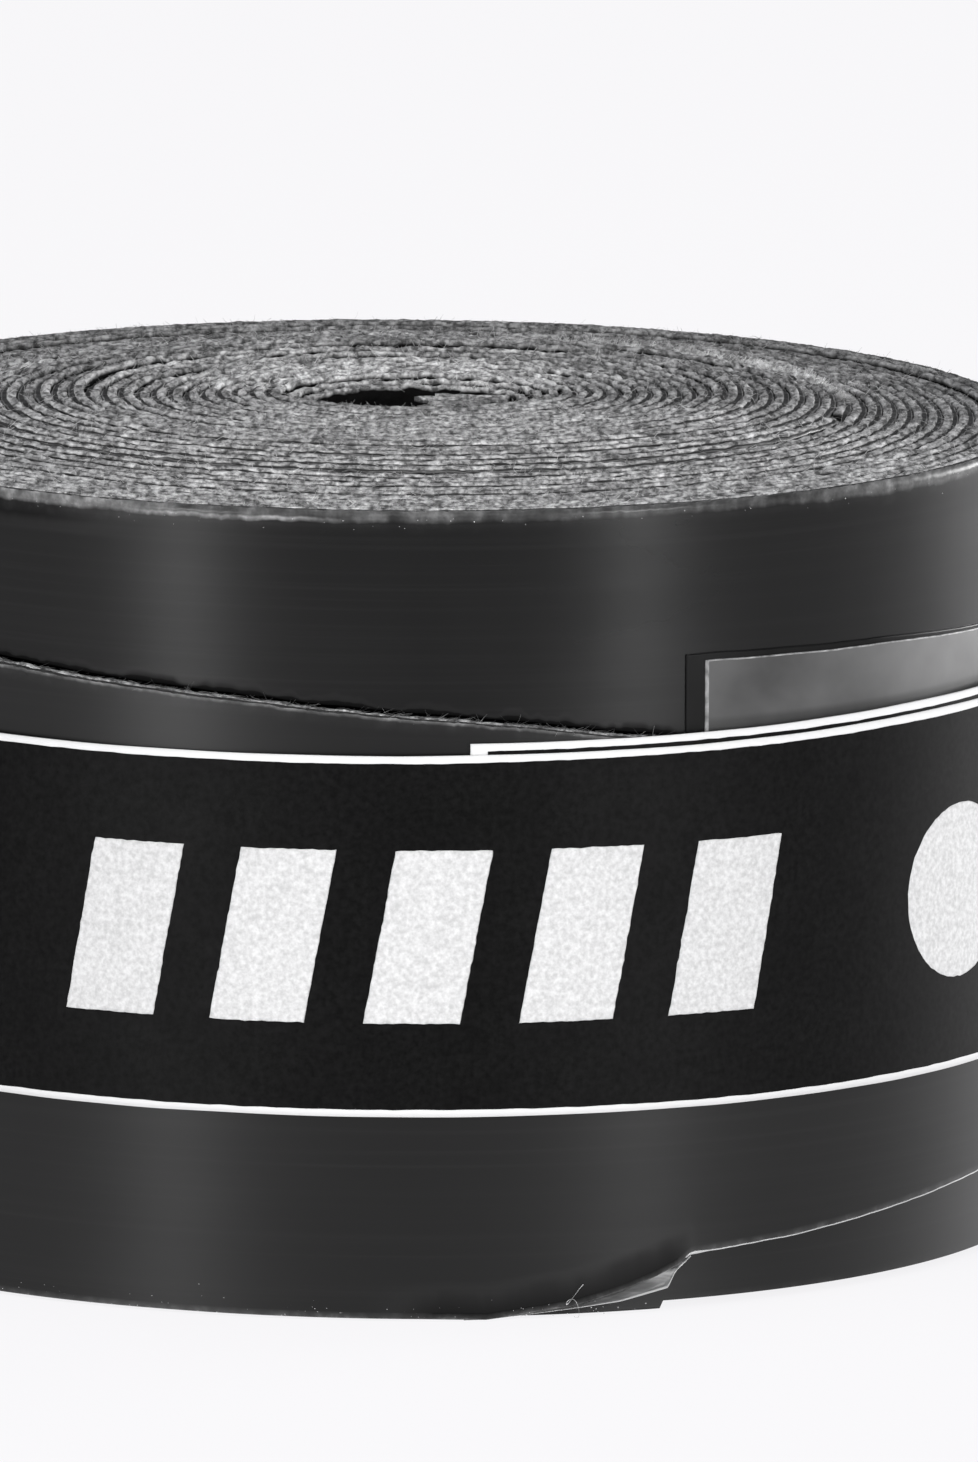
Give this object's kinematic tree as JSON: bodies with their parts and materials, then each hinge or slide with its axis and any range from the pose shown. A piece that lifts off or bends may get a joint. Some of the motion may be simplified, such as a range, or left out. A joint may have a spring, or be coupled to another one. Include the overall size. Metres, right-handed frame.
{
  "type": "grip tape roll",
  "caption": "Coreless roll of felt-backed grip tape with a clear cover film and a starter tab, held by a printed paper band with a glued lap.",
  "frame": {"origin": "middle of the roll's outline, on the plane that it stands on", "axes": "+Z along the roll's axis, up; -Y is the front, where the printed marks face and the band's inner lap starts; +X is to the right seen from the front"},
  "size_m": [0.0496, 0.0496, 0.0311],
  "materials": {
    "felt": "grey non-woven felt with a cut, fibrous edge",
    "grip_face": "dark tacky polyurethane",
    "film": "thin clear film with a satin gloss",
    "liner": "smooth dark release film",
    "adhesive": "grey adhesive strip with a soft sheen",
    "band_paper": "white paper with cut edges",
    "band_print": "matte black ink",
    "glue": "dried glue in the lap"
  },
  "bodies": {
    "roll": {"felt_backing": "felt", "grip_face": "grip_face", "cover_film": "film", "starter_liner": "liner", "starter_adhesive": "adhesive"},
    "band": {"band_paper": "band_paper", "band_print": "band_print", "band_glue": "glue"}
  },
  "joints": [
    {"name": "band_slide", "type": "slide", "parent": "roll", "child": "band", "axis": [0, 0, 1], "range_m": [-0.0075, 0.0236]}
  ]
}
